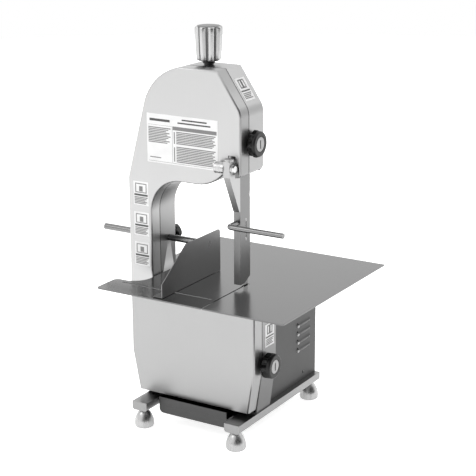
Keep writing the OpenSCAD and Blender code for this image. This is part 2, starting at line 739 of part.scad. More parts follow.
shaft_r = 11;
motor_front = body_depth;
motor_len = 150;
motor_r = 66;
module lower_wheel() placed() color([0.7, 0.71, 0.72]) wheel(lower_z, shaft_r, 26, hub_back + 3);
module motor_shaft() placed() color([0.75, 0.75, 0.76]) {
    rod_along_y(wheel_x, lower_z, shaft_r, hub_front - 8, motor_front + motor_len + 14);
    rod_along_y(wheel_x, lower_z, 14, hub_back + 3, hub_back + 8);
    rod_along_y(wheel_x, lower_z, 48, motor_front + 34, motor_front + motor_len - 20);
}
module wheel_nut() placed() color([0.7, 0.7, 0.7]) {
    difference() {
        union() {
            rod_along_y(wheel_x, lower_z, 18, hub_front - 2, hub_front);
            translate([wheel_x, hub_front - 2, lower_z]) rotate([90, 0, 0]) cylinder(h = 10, r = 15, $fn = 6);
        }
        rod_along_y(wheel_x, lower_z, shaft_r, hub_front - 9, hub_front + 1);
    }
}
motor_bearing_y = [motor_front + 12, motor_front + motor_len - 2];
module motor_bearings() placed() color([0.3, 0.3, 0.32])
    for (y = motor_bearing_y) ring_bearing(wheel_x, lower_z, y, shaft_r + fit);
module motor_body() placed() color([0.2, 0.25, 0.32]) {
    difference() {
        union() {
            rod_along_y(wheel_x, lower_z, motor_r + 9, motor_front, motor_front + 10);
            rod_along_y(wheel_x, lower_z, motor_r, motor_front, motor_front + motor_len - 4);
            // cooling fins and the two feet of the junction box
            for (i = [0 : 11]) translate([wheel_x, 0, lower_z]) rotate([0, i * 30, 0])
                block([-1.5, motor_front + 12, motor_r - 1], [1.5, motor_front + motor_len - 6, motor_r + 5]);
        }
        rod_along_y(wheel_x, lower_z, motor_r - 5, motor_front + 26, motor_front + motor_len);
        rod_along_y(wheel_x, lower_z, bearing_r, motor_front + 12, motor_front + 27);
        rod_along_y(wheel_x, lower_z, 15, motor_front - 1, motor_front + 13);
    }
}
module motor_end_bell() placed() color([0.2, 0.25, 0.32]) {
    y0 = motor_front + motor_len - 4;
    difference() {
        union() {
            rod_along_y(wheel_x, lower_z, motor_r, y0, y0 + 22);
            rod_along_y(wheel_x, lower_z, motor_r - 10, y0 + 22, y0 + 34);
        }
        rod_along_y(wheel_x, lower_z, bearing_r, y0 - 1, y0 + 14);
        rod_along_y(wheel_x, lower_z, shaft_r + 2, y0 + 13, y0 + 22);
    }
}

// Blade: a loop round both wheels
module saw_blade() placed() color([0.75, 0.75, 0.76]) {
    r_in = wheel_r + blade_gap;
    r_out = r_in + blade_t;
    upright(blade_front, blade_back) difference() {
        union() {
            translate([wheel_x, upper_z]) circle(r = r_out, $fn = 128);
            translate([wheel_x, lower_z]) circle(r = r_out, $fn = 128);
            translate([wheel_x - r_out, lower_z]) square([2 * r_out, upper_z - lower_z]);
        }
        translate([wheel_x, upper_z]) circle(r = r_in, $fn = 128);
        translate([wheel_x, lower_z]) circle(r = r_in, $fn = 128);
        translate([wheel_x - r_in, lower_z]) square([2 * r_in, upper_z - lower_z]);
    }
}
guide_slot = blade_t + 1.4;
module upper_blade_guide() placed() color([0.5, 0.5, 0.5]) {
    z = head_under + 27;
    difference() {
        union() {
            block([blade_x - 7.5, blade_back - 9, z], [blade_x + 3.3, blade_back + 10, z + 10]);
            block([blade_x - 7.5, blade_back + 8, z], [blade_x + 3.3, back_inner, z + 10]);
        }
        block([blade_x - guide_slot / 2, blade_back - 10, z - 1],
              [blade_x + guide_slot / 2, blade_back + 1.5, z + 11]);
    }
}
module lower_blade_guide() placed() color([0.5, 0.5, 0.5])
    difference() {
        block([blade_x - 8, blade_back - 9, lower_top], [blade_x + 8, blade_back + 16, lower_top + 14]);
        block([blade_x - guide_slot / 2, blade_back - 10, lower_top - 1],
              [blade_x + guide_slot / 2, blade_back + 1.5, lower_top + 15]);
        block([blade_x - 5, blade_back - 10, lower_top - 1], [blade_x + 5, blade_back + 5, lower_top + 4]);
    }
// Scraper that keeps the lower wheel's rim clean
module wheel_scraper() placed() color([0.9, 0.9, 0.88]) {
    z = lower_z - flange_r - 1.5;
    block([wheel_x - 12, rim_front, z - 8], [wheel_x + 12, wheel_back, z]);
    block([wheel_x - 12, wheel_back - 1, z - 8], [wheel_x + 12, back_inner, z - 4]);
}

// Guard: a folded channel in front of the blade, on an arm over the door's corner
module guard_channel() placed() color([0.5, 0.51, 0.52]) {
    x1 = guard_side_x;
    difference() {
        union() {
            block([x1 - guard_w, guard_flange_y, guard_bottom], [x1, guard_flange_y + guard_t, guard_top]);
            translate([x1 - guard_t, 0, 0]) rotate([90, 0, 90]) linear_extrude(guard_t)
                polygon([[guard_flange_y, guard_bottom], [guard_flange_y + guard_depth - 24, guard_bottom],
                         [guard_flange_y + guard_depth, guard_bottom + 12],
                         [guard_flange_y + guard_depth, 540], [guard_flange_y + guard_depth - 1.5, 545],
                         [guard_flange_y + guard_depth, 556], [guard_flange_y + guard_depth, guard_top],
                         [guard_flange_y, guard_top]]);
        }
        // sight slot in the side plate
        for (z = [452, 494]) rod_along_x(guard_flange_y + 23.5, z, 1.8, x1 - guard_t - 1, x1 + 1);
        block([x1 - guard_t - 1, guard_flange_y + 21.7, 452], [x1 + 1, guard_flange_y + 25.3, 494]);
    }
}
module guard_arm() placed() color([0.75, 0.76, 0.77]) {
    x1 = guard_side_x;
    x0 = x1 - guard_w + 1;
    difference() {
        union() {
            block([x0, arm_front, arm_shoulder], [x1, -air, arm_top]);
            // sloping front strip of the arm
            translate([x0, 0, 0]) rotate([90, 0, 90]) linear_extrude(x1 - x0)
                polygon([[arm_front, arm_shoulder + 1], [guard_flange_y - 3, arm_foot],
                         [guard_flange_y, arm_foot], [guard_flange_y, arm_foot + 12],
                         [arm_front + 4, arm_shoulder + 1]]);
            // gusset on the right-hand side
            translate([x1 - 2, 0, 0]) rotate([90, 0, 90]) linear_extrude(2)
                polygon([[arm_front, arm_shoulder + 1], [guard_flange_y - 3, arm_foot],
                         [guard_flange_y, arm_foot], [guard_flange_y, arm_shoulder - 8],
                         [-air, arm_shoulder - 4], [-air, arm_shoulder + 1]]);
            // round boss on top
            translate([(x0 + x1) / 2, arm_front + 11, arm_top - 1]) cylinder(h = 5, r = 10.5);
        }
        rod_along_x(guard_screw_y, guard_screw_z, 4, x0 - 1, x1 + 1);
    }
}
module guard_lock_knob() placed() color([0.8, 0.8, 0.82]) {
    x0 = guard_side_x - guard_w + 1;
    difference() {
        rod_along_x(guard_screw_y, guard_screw_z, guard_knob_r, x0 - 23, x0 - air);
        for (i = [0 : 17]) translate([x0 - 18, guard_screw_y, guard_screw_z]) rotate([i * 20, 0, 0])
            translate([0, 0, guard_knob_r + 0.6]) rotate([0, 90, 0]) cylinder(h = 12, r = 1, $fn = 16);
    }
    rod_along_x(guard_screw_y, guard_screw_z, 4 - fit, x0 - 1, x0 + 7);
}
module guard_bolt() placed() color([0.7, 0.7, 0.7]) {
    x1 = guard_side_x;
    rod_along_x(guard_screw_y, guard_screw_z, 4, x1 - 6, x1 + 1);
    rod_along_x(guard_screw_y, guard_screw_z, 8.5, x1, x1 + 2);
    translate([x1 + 2, guard_screw_y, guard_screw_z]) rotate([0, 90, 0]) cylinder(h = 6, r = 7.5, $fn = 6);
}
module guard_handle() placed() color([0.7, 0.7, 0.72]) {
    x = guard_side_x - guard_w / 2;
    r = handle_d / 2;
    bend = 9;
    rod_along_y(x, handle_z, r, handle_y + bend, guard_flange_y);
    translate([x + bend, handle_y + bend, handle_z]) rotate([0, 0, 180])
        rotate_extrude(angle = 90) translate([bend, 0]) circle(r = r);
    rod_along_x(handle_y, handle_z, r, x + bend, handle_right);
}
// Nylon block behind the door skin that guides the channel's front flange
module guard_slider() placed() color([0.9, 0.9, 0.88]) {
    x0 = guard_side_x - guard_w;
    difference() {
        block([x0 - 13, sheet, head_under + 14], [x0 + 5, guard_flange_y + 8, head_under + 44]);
        block([x0 - air, guard_flange_y - air, head_under + 13],
              [x0 + 6, guard_flange_y + guard_t + air, head_under + 45]);
    }
}

// Fence: folded plate with a foot, on a rod clamped in the column
module fence() placed() color([0.35, 0.36, 0.37]) {
    top = table_z + fence_h;
    plate = concat(
        [[fence_front, fence_z], [fence_back, fence_z]],
        arc(fence_back - 8, top - 8, 8, 0, 90, 4),
        [[fence_front + 94, top], [fence_front + 6, fence_z + 34], [fence_front, fence_z + 30]]);
    difference() {
        translate([fence_x - fence_t, 0, 0]) rotate([90, 0, 90]) linear_extrude(fence_t) polygon(plate);
        rod_along_x(rod_y, rod_z, rod_d / 2 - 2, fence_x - fence_t - 1, fence_x + 1);
    }
    difference() {
        block([fence_x - fence_foot_w, fence_front, fence_z], [fence_x, fence_back - 20, fence_z + fence_t]);
        translate([fence_x - 13, fence_slot_y, fence_z - 1]) cylinder(h = 5, r = 2 + fit);
    }
}
module fence_rod() placed() color([0.72, 0.73, 0.74]) {
    rod_along_x(rod_y, rod_z, rod_d / 2, rod_left, fence_x - fence_t);
    rod_along_x(rod_y, rod_z, rod_d / 2 - 2, fence_x - fence_t - 1, fence_x);
}
module fence_lock_knob() placed() color([0.05, 0.05, 0.05])
    translate([fence_x - 13, fence_slot_y, fence_z + fence_t + air]) {
        difference() {
            union() {
                cylinder(h = 14, r = 8);
                for (i = [0 : 5])
                    rotate([0, 0, i * 60]) translate([5.5, 0, 3]) cylinder(h = 10, r = 4, $fn = 24);
            }
            translate([0, 0, -1]) cylinder(h = 11, r = 2);
        }
        // screw through the slot, with its nut under the table
        translate([0, 0, -table_t - 14]) cylinder(h = table_t + 24, r = 2);
        translate([0, 0, -table_t - 0.6 - fence_t - air - air - 5]) cylinder(h = 5, r = 6, $fn = 6);
    }
module rod_clamp_knob() placed() color([0.05, 0.05, 0.05])
    translate([clamp_x, 0, rod_z]) {
        translate([0, body_depth + 4 + air, 0]) rotate([-90, 0, 0]) lobed_knob(20, 18, 6);
        rod_along_y(0, 0, 4, rod_y + rod_d / 2 + air, body_depth + 18);
        rod_along_y(0, 0, latch_r, body_depth + air + 2, body_depth + 18);
    }

// Switch box on the left-hand side of the housing
box_y = [150, 214];
box_z = [205, 300];
box_x = housing_left - 42;
module switch_box() placed() color([0.3, 0.3, 0.31])
    difference() {
        block([box_x, box_y[0], box_z[0]], [housing_left, box_y[1], box_z[1]]);
        block([box_x + 2.5, box_y[0] + 2.5, box_z[0] + 2.5],
              [housing_left + 1, box_y[1] - 2.5, box_z[1] - 2.5]);
        rod_along_x(button_y, start_z, 11 + air, box_x - 1, box_x + 4);
        rod_along_x(button_y, stop_z, 11 + air, box_x - 1, box_x + 4);
    }
button_y = (box_y[0] + box_y[1]) / 2;
start_z = box_z[0] + 68;
stop_z = box_z[0] + 27;
button_travel = 4;
module push_button(z, cap_r, proud) {
    rod_along_x(button_y, z, 11, box_x - button_travel - 2, box_x + 14);
    rod_along_x(button_y, z, 14, box_x + 2.5 + air, box_x + 5);
    rod_along_x(button_y, z, cap_r, box_x - proud, box_x - button_travel - 1);
}
module start_button() placed() color([0.1, 0.5, 0.2]) {
    rod_along_x(button_y, start_z, 11, box_x - 6, box_x + 14);
    rod_along_x(button_y, start_z, 14, box_x + 2.5 + air, box_x + 5);
}
module stop_button() placed() color([0.7, 0.08, 0.06]) push_button(stop_z, 17, 12);

frame_shell();
motor_housing();
housing_rear_cover();
rail_left();
rail_right();
base_braces();
foot_front_left();
foot_front_right();
foot_rear_left();
foot_rear_right();
foot_studs();
tray_runners();
drip_tray();
table();
table_bracket_left();
table_bracket_right();
table_screws();
upper_door();
lower_door();
upper_door_hinges();
lower_door_hinges();
frame_hinge_lugs();
hinge_pins();
upper_door_knob();
lower_door_knob();
upper_latch_stud();
lower_latch_stud();
tension_knob();
tension_screw();
tension_washers();
wheel_carriage();
carriage_rods();
rod_blocks();
upper_axle();
upper_wheel();
upper_bearings();
lower_wheel();
motor_shaft();
wheel_nut();
motor_bearings();
motor_body();
motor_end_bell();
saw_blade();
upper_blade_guide();
lower_blade_guide();
wheel_scraper();
guard_channel();
guard_arm();
guard_handle();
guard_lock_knob();
guard_bolt();
guard_slider();
fence();
fence_rod();
fence_lock_knob();
rod_clamp_knob();
switch_box();
start_button();
stop_button();
cord_gland();
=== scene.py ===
"""A tabletop bone saw dressed for a studio picture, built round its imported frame.

Everything is in metres in the frame's own axes: X to the operator's right, Y to the
back, Z up, with the origin on the bench under the middle of the machine.
"""
import json
import math

import bmesh
import bpy
from mathutils import Matrix, Vector


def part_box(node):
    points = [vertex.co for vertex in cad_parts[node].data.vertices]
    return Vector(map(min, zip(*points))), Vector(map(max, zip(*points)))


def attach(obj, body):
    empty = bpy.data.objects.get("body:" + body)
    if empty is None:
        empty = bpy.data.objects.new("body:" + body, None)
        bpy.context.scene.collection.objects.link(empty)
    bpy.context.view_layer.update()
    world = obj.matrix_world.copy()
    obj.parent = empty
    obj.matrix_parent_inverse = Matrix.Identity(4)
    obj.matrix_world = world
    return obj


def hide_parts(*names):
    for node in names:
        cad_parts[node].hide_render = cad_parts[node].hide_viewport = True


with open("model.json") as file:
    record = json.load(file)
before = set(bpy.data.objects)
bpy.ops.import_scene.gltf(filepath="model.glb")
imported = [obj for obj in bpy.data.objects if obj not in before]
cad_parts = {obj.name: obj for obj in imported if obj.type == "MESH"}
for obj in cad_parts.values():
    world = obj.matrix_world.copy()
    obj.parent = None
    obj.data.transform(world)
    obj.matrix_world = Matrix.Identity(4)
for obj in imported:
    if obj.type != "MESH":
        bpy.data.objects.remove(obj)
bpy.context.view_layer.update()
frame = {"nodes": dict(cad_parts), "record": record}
MM = 0.001

# --- Casing: the C-shaped body behind the doors -------------------------------------
# Folded and welded from 2.5 mm stainless sheet, then satin ground. Its seams are ground
# flush. The casing is coloured darker towards the bottom, a painted shade for the table's
# shadow on the lower body.


class Wire:
    """One output of a shader tree; sums on wires add Math nodes to that tree."""

    def __init__(self, nodes, socket):
        self.nodes, self.socket = nodes, socket

    def _sum(self, operation, first, second):
        return self.nodes.add("Math", {"operation": operation}, [first, second])

    def __add__(self, other):
        return self._sum("ADD", self, other)

    def __radd__(self, other):
        return self._sum("ADD", other, self)

    def __sub__(self, other):
        return self._sum("SUBTRACT", self, other)

    def __rsub__(self, other):
        return self._sum("SUBTRACT", other, self)

    def __mul__(self, other):
        return self._sum("MULTIPLY", self, other)

    def __rmul__(self, other):
        return self._sum("MULTIPLY", other, self)

    def __gt__(self, other):
        return self._sum("GREATER_THAN", self, other)

    def __pow__(self, other):
        return self._sum("POWER", self, other)


class Nodes:
    """A shader tree that grows one node at a time."""

    def __init__(self, owner):
        owner.use_nodes = True
        self.tree = owner.node_tree

    def join(self, value, socket):
        if isinstance(value, Wire):
            self.tree.links.new(value.socket, socket)
        else:
            socket.default_value = value

    def add(self, kind, settings, values, output=0):
        node = self.tree.nodes.new("ShaderNode" + kind)
        for name, setting in settings.items():
            setattr(node, name, setting)
        for key, value in values.items() if isinstance(values, dict) else enumerate(values):
            self.join(value, node.inputs[key])
        return Wire(self, node.outputs[output])

    def place(self, scale=(1, 1, 1)):
        """The point on the piece, in metres, stretched by scale."""
        point = self.add("TexCoord", {}, {}, "Object")
        return self.add("Mapping", {}, {"Vector": point, "Scale": scale})

    def across(self, axis):
        """How far along one axis the point lies, in metres."""
        point = self.add("TexCoord", {}, {}, "Object")
        return self.add("SeparateXYZ", {}, [point], axis)

    def noise(self, scale, size, detail=3.0):
        return self.add("TexNoise", {}, {"Vector": self.place(scale), "Scale": size, "Detail": detail})

    def mix(self, factor, dark, light):
        """A colour between two others; the sockets of a Mix node's colours are 6 and 7."""
        return self.add("Mix", {"data_type": "RGBA"}, {0: factor, 6: dark, 7: light}, 2)


class Finish(Nodes):
    """A surface finish. Numbers go straight on the shader, and wires carry what varies."""

    def __init__(self, name, **numbers):
        self.material = bpy.data.materials.new(name)
        super().__init__(self.material)
        self.shader = self.tree.nodes["Principled BSDF"]
        for socket, number in numbers.items():
            self.shader.inputs[socket.replace("_", " ").title()].default_value = number

    def feed(self, **wires):
        for socket, wire in wires.items():
            self.join(wire, self.shader.inputs[socket.replace("_", " ").title()])
        return self

    def bump(self, height, depth):
        self.feed(normal=self.add("Bump", {}, {"Height": height, "Distance": depth, "Strength": 1.0}))


def grey(tone, warmth=0.0):
    return (tone * (1 + warmth), tone, tone * (1 - warmth), 1.0)


def brushed(name, tone, roughness, grain, spread=0.1, depth=0.00001, shaded=None):
    """Stainless sheet ground with a belt: grain is how finely the lines pack on each axis.

    A shaded function, if there is one, gives the colour from the finish and its lines.
    """
    finish = Finish(name, metallic=1.0)
    lines = finish.noise(grain, 1.0, 4.0)
    clouds = finish.noise((1, 1, 1), 9.0, 2.0)
    if shaded:
        colour = shaded(finish, lines)
    else:
        colour = finish.mix(0.65 * lines + 0.35 * clouds, grey(tone * 0.9), grey(tone * 1.08))
    finish.feed(base_color=colour,
                roughness=roughness + spread * (lines - 0.5) + 0.10 * (clouds - 0.5))
    finish.bump(lines, depth)
    return finish


def dress(finish, *nodes):
    """Puts a finish on CAD nodes that keep their own mesh."""
    for node in nodes:
        slots = frame["nodes"][node].data.materials
        slots.clear()
        slots.append(finish.material)


body_of = {node: body for body, nodes in frame["record"]["behaviour"]["bodies"].items() for node in nodes}


def welded(node):
    """A copy of a CAD node's mesh as whole faces: shared corners joined, flat stretches merged."""
    mesh = bmesh.new()
    mesh.from_mesh(frame["nodes"][node].data)
    bmesh.ops.remove_doubles(mesh, verts=mesh.verts, dist=0.002 * MM)
    bmesh.ops.dissolve_limit(mesh, angle_limit=math.radians(0.6), verts=mesh.verts, edges=mesh.edges)
    return mesh


def piece(name, mesh, finish, body):
    """Turns mesh code into a smooth-shaded piece that rides on a body."""
    data = bpy.data.meshes.new(name)
    mesh.to_mesh(data)
    mesh.free()
    data.materials.append(finish.material)
    data.shade_smooth()
    thing = bpy.data.objects.new(name, data)
    bpy.context.scene.collection.objects.link(thing)
    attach(thing, body)
    return thing


def even_shading(thing, sharp=40):
    thing.data.set_sharp_from_angle(angle=math.radians(sharp))
    normals = thing.modifiers.new("even shading", "WEIGHTED_NORMAL")
    normals.keep_sharp = True
    return thing


def stands_for(node, mesh, finish):
    """A finished piece shown in place of its CAD node."""
    thing = piece(node + "_finished", mesh, finish, body_of[node])
    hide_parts(node)
    return thing


def eased(node, finish, width, steps=2, angle=35):
    """The node with every edge broken by a small round, as filed and tumbled sheet has."""
    thing = stands_for(node, welded(node), finish)
    bevel = thing.modifiers.new("eased edges", "BEVEL")
    bevel.limit_method, bevel.angle_limit = "ANGLE", math.radians(angle)
    bevel.width, bevel.segments = width, steps
    bevel.use_clamp_overlap = True
    return even_shading(thing)


def bend(mesh, picked, radius, steps=5):
    """Rounds the picked edges of a pressing to the radius of its bend."""
    bmesh.ops.bevel(mesh, geom=[edge for edge in mesh.edges if picked(edge)], offset=radius,
                    offset_type="OFFSET", segments=steps, profile=0.5, affect="EDGES", clamp_overlap=False)


SHADE_FADE = {"From Min": 0.10, "From Max": 0.44, "To Min": 0.0, "To Max": 0.94}
SHADED_TONE, HIGH_TONE = 0.13, 0.33


# Painted shade: the casing's colour darkens with height from the head down to the lower body.
def painted_shade_low_down(finish, lines):
    height = finish.add("MapRange", {"interpolation_type": "SMOOTHSTEP"},
                        {"Value": finish.across("Z"), **SHADE_FADE})
    return finish.mix(height + 0.12 * (lines - 0.5), grey(SHADED_TONE), grey(HIGH_TONE))


casing_finish = brushed("satin_casing", HIGH_TONE, 0.34, (700, 700, 30), shaded=painted_shade_low_down)
even_shading(stands_for("frame_shell", welded("frame_shell"), casing_finish))

# --- Doors: two pressed pans that close the front -----------------------------------
# Deep drawn from the same sheet and satin ground upright. The front edge is a full
# bend, the rim runs straight back, and a tab inside carries the fork of the latch.
UPRIGHT_GRAIN = (900, 900, 18)
# The lower door takes a darker copy of the same door finish, a painted shade under the table.
UPPER_TONE, LOWER_SHADED_TONE = 0.446, 0.346


def rim_painted_shade(face_tone, shade_share):
    """Painted shade: sides that face right get a darker colour, the more so the further they turn right."""

    def shaded(finish, lines):
        facing = finish.add("SeparateXYZ", {}, [finish.add("TexCoord", {}, {}, "Normal")], "X")
        on_right = finish.across("X") > 0.0
        # Painted shade on right-facing sides, stronger the further the face turns right.
        shade_on_right = finish.add("Math", {"operation": "MAXIMUM"}, [facing, 0.0]) * on_right
        return finish.mix(shade_on_right + 0.10 * (lines - 0.5), grey(face_tone), grey(shade_share * face_tone))

    return shaded


door_finish = brushed("satin_door", UPPER_TONE, 0.40, UPRIGHT_GRAIN, 0.06, shaded=rim_painted_shade(UPPER_TONE, 0.6))
lower_door_shaded_finish = brushed("satin_lower_door_shaded", LOWER_SHADED_TONE, 0.38, UPRIGHT_GRAIN, 0.08,
                            shaded=rim_painted_shade(LOWER_SHADED_TONE, 0.85))
DOOR_BEND = 4.5 * MM
NOTCH_LEFT, NOTCH_RIGHT, NOTCH_OVER = 4 * MM, 13 * MM, 5 * MM
guard_low, guard_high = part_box("guard_channel")
lower_door_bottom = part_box("lower_door")[0].z


def pressed_pan(node, finish):
    """A door whose front edge is bent, but for the lower door's bottom and the guard's notch."""
    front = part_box(node)[0].y
    mesh = welded(node)

    def on_front_outline(edge):
        at_front = all(abs(vert.co.y - front) < 0.01 * MM for vert in edge.verts)
        middle = (edge.verts[0].co + edge.verts[1].co) / 2
        in_notch = (guard_low.x - NOTCH_LEFT < middle.x < guard_high.x + NOTCH_RIGHT
                    and middle.z < guard_high.z + NOTCH_OVER)
        at_bottom = middle.z < lower_door_bottom + 0.1 * MM
        return at_front and not at_bottom and not (node == "upper_door" and in_notch)

    bend(mesh, on_front_outline, DOOR_BEND)
    return even_shading(stands_for(node, mesh, finish), 50)


pressed_pan("upper_door", door_finish)
pressed_pan("lower_door", lower_door_shaded_finish)

# --- Door seam shade ------------------------------------------------------------------
# A near-black strip along the casing's front edge, a painted shade for the seam where each
# door meets the casing. It shows as a dark line all round between each pan and the casing.


def moulded(name, colour, roughness, grain=900.0, depth=0.00006):
    """Plastic, rubber, paint or film with a fine pebble and faint clouds."""
    finish = Finish(name, coat_roughness=0.3)
    pebble = finish.noise((1, 1, 1), grain, 3.0)
    clouds = finish.noise((1, 1, 1), 30.0, 2.0)
    dark = tuple(0.8 * part for part in colour[:3]) + (1.0,)
    finish.feed(base_color=finish.mix(clouds, dark, colour), roughness=roughness + 0.2 * (pebble - 0.5))
    finish.bump(pebble, depth)
    return finish


# Near-black finish for the painted shade in the seam.
seam_shade_finish = moulded("seam_painted_shade", grey(0.012), 0.6)
SEAM_SHADE_W, SEAM_SHADE_PROUD = 1.8 * MM, 0.12 * MM
casing_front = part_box("frame_shell")[0].y
casing_edges = welded("frame_shell")
seam_shade = bmesh.new()
for edge in casing_edges.edges:
    ends = [vert.co for vert in edge.verts]
    if any(abs(end.y - casing_front) > 0.01 * MM for end in ends):
        continue
    for wall in edge.link_faces:
        if abs(wall.normal.y) > 0.1:
            continue
        raised = [end + wall.normal * SEAM_SHADE_PROUD for end in ends]
        behind = [spot + Vector((0, SEAM_SHADE_W, 0)) for spot in raised]
        seam_shade.faces.new([seam_shade.verts.new(spot) for spot in (raised[0], raised[1], behind[1], behind[0])])
casing_edges.free()
bmesh.ops.remove_doubles(seam_shade, verts=seam_shade.verts, dist=0.2 * MM)
bmesh.ops.recalc_face_normals(seam_shade, faces=seam_shade.faces)
piece("door_seam_shade", seam_shade, seam_shade_finish, "root")

# --- Hinges, latch studs and other machined steel -----------------------------------
# Welded lugs with turned pins on the left-hand side, and the turned, milled and bought
# parts that carry the wheels. They are bare machined steel with fine tool marks.
machined = brushed("machined_steel", 0.55, 0.28, (60, 60, 2500), 0.1)
dress(casing_finish, "upper_door_hinges", "lower_door_hinges", "frame_hinge_lugs")
dress(machined, "hinge_pins", "upper_latch_stud", "lower_latch_stud", "tension_screw", "carriage_rods",
      "upper_axle", "upper_bearings", "motor_shaft", "wheel_nut", "motor_bearings", "upper_blade_guide",
      "lower_blade_guide", "foot_studs", "table_screws", "guard_bolt")

# --- Wheels, carriage and motor behind the doors --------------------------------------
# Cast aluminium wheels with turned rims, a cast carriage on two rods, and a painted
# flange motor. The castings are sand-cast and left rough between the turned faces.


def cast(name, tone, metallic, roughness):
    """A sand casting, bare or painted."""
    finish = Finish(name, metallic=metallic)
    sand = finish.noise((1, 1, 1), 420.0, 5.0)
    clouds = finish.noise((1, 1, 1), 18.0, 2.0)
    finish.feed(base_color=finish.mix(clouds, tuple(0.85 * c for c in tone[:3]) + (1.0,), tone),
                roughness=roughness + 0.2 * (sand - 0.5))
    finish.bump(sand, 0.0002)
    return finish


dress(cast("cast_aluminium", grey(0.6), 1.0, 0.45),
      "upper_wheel", "lower_wheel", "wheel_carriage", "rod_blocks")
dress(cast("motor_paint", (0.05, 0.08, 0.13, 1.0), 0.0, 0.35), "motor_body", "motor_end_bell")

# --- Blade ---------------------------------------------------------------------------
# A welded band of ground spring steel, 16 mm wide. Its teeth would face the operator; they
# are left out, because the band stands in the guard and nothing of them shows.
dress(brushed("blade_steel", 0.62, 0.22, (20, 1800, 60), 0.12), "saw_blade")

# --- Nylon slider and scraper ----------------------------------------------------------
# Sawn and milled blocks of white nylon that guide the guard and wipe the lower wheel.
dress(moulded("white_nylon", grey(0.8), 0.5), "guard_slider", "wheel_scraper")

# --- Table -----------------------------------------------------------------------------
# One sheet of 3 mm stainless, ground from side to side and smoother than the casing, so it
# mirrors what stands on it. The blade slot and the fence slot are cut and eased.
table_finish = brushed("bright_table", 0.138, 0.20, (25, 900, 900), 0.10, 0.000006)
eased("table", table_finish, 0.6 * MM)
eased("table_bracket_left", casing_finish, 0.4 * MM)
eased("table_bracket_right", casing_finish, 0.4 * MM)

# --- Fence and its rod -------------------------------------------------------------------
# A folded plate, ground dull, on a drawn rod that slides through the column. The guard's
# handle is bent from thinner rod of the same kind.
fence_finish = brushed("fence_sheet", 0.18, 0.30, (700, 40, 700))
eased("fence", fence_finish, 0.5 * MM)
rod_finish = brushed("drawn_rod", 0.20, 0.26, (900, 60, 60), 0.06)
dress(rod_finish, "fence_rod", "guard_handle")

# --- Guard -------------------------------------------------------------------------------
# A folded channel in front of the blade, on a welded hanger that overlaps the door. The
# channel is duller than the hanger, and the ends of its sight slot carry painted highlights.
slot_painted_highlight = moulded("slot_painted_highlight", grey(0.6), 0.3)
eased("guard_channel", brushed("guard_sheet", 0.185, 0.36, (900, 900, 30)), 0.3 * MM)
slot_x, slot_y = guard_high.x, guard_low.y + 23.5 * MM
# Two pale lenses at the slot's ends are painted highlights.
for end_z in (guard_low.z + 97 * MM, guard_low.z + 139 * MM):
    shine = bmesh.new()
    bmesh.ops.create_uvsphere(shine, u_segments=16, v_segments=10, radius=1.0,
                              matrix=Matrix.Translation((slot_x - 0.2 * MM, slot_y, end_z))
                              @ Matrix.Diagonal((0.5 * MM, 1.7 * MM, 4.5 * MM, 1.0)))
    piece(f"slot_shine_{round(end_z * 1000)}", shine, slot_painted_highlight, body_of["guard_channel"])
arm_finish = brushed("satin_arm", 0.385, 0.36, (900, 900, 40), 0.06)
eased("guard_arm", arm_finish, 0.8 * MM)

# --- Door knobs ----------------------------------------------------------------------------
# Moulded black grips with eight lobes that run out under a plain round face, and a pale
# insert with one dark bar pressed into the face.
knob_finish = moulded("black_moulding", grey(0.006), 0.34)
knob_finish.shader.inputs["Specular IOR Level"].default_value = 0.28
knob_face_finish = moulded("black_knob_face", grey(0.006), 0.30)
knob_face_finish.shader.inputs["Specular IOR Level"].default_value = 0.25
insert_finish = moulded("pale_insert", grey(0.40), 0.35)


def turned(name, finish, body, base, axis, rings, lobes=0, steps=128, sharp=40, bottoms=None):
    """A turned piece. Each ring is its distance along the axis, its radius and its flute depth."""
    mesh = bmesh.new()
    turn = Vector((0, 0, 1)).rotation_difference(axis).to_matrix()
    loops = []
    for along, radius, flute in rings:
        loop = []
        for step in range(steps):
            angle = 2 * math.pi * step / steps
            reach = radius - flute * abs(math.sin(lobes * angle / 2)) ** 3
            spot = Vector((reach * math.cos(angle), reach * math.sin(angle), along))
            loop.append(mesh.verts.new(base + turn @ spot))
        loops.append(loop)
    for near, far in zip(loops, loops[1:]):
        for step in range(steps):
            follower = (step + 1) % steps
            wall = mesh.faces.new((near[step], near[follower], far[follower], far[step]))
            in_flute = abs(math.sin(lobes * math.pi * (step + 0.5) / steps)) > 0.95
            wall.material_index = 1 if bottoms and in_flute else 0
    mesh.faces.new(list(reversed(loops[0])))
    mesh.faces.new(loops[-1])
    thing = even_shading(piece(name, mesh, finish, body), sharp)
    if bottoms:
        thing.data.materials.append(bottoms.material)
    return thing


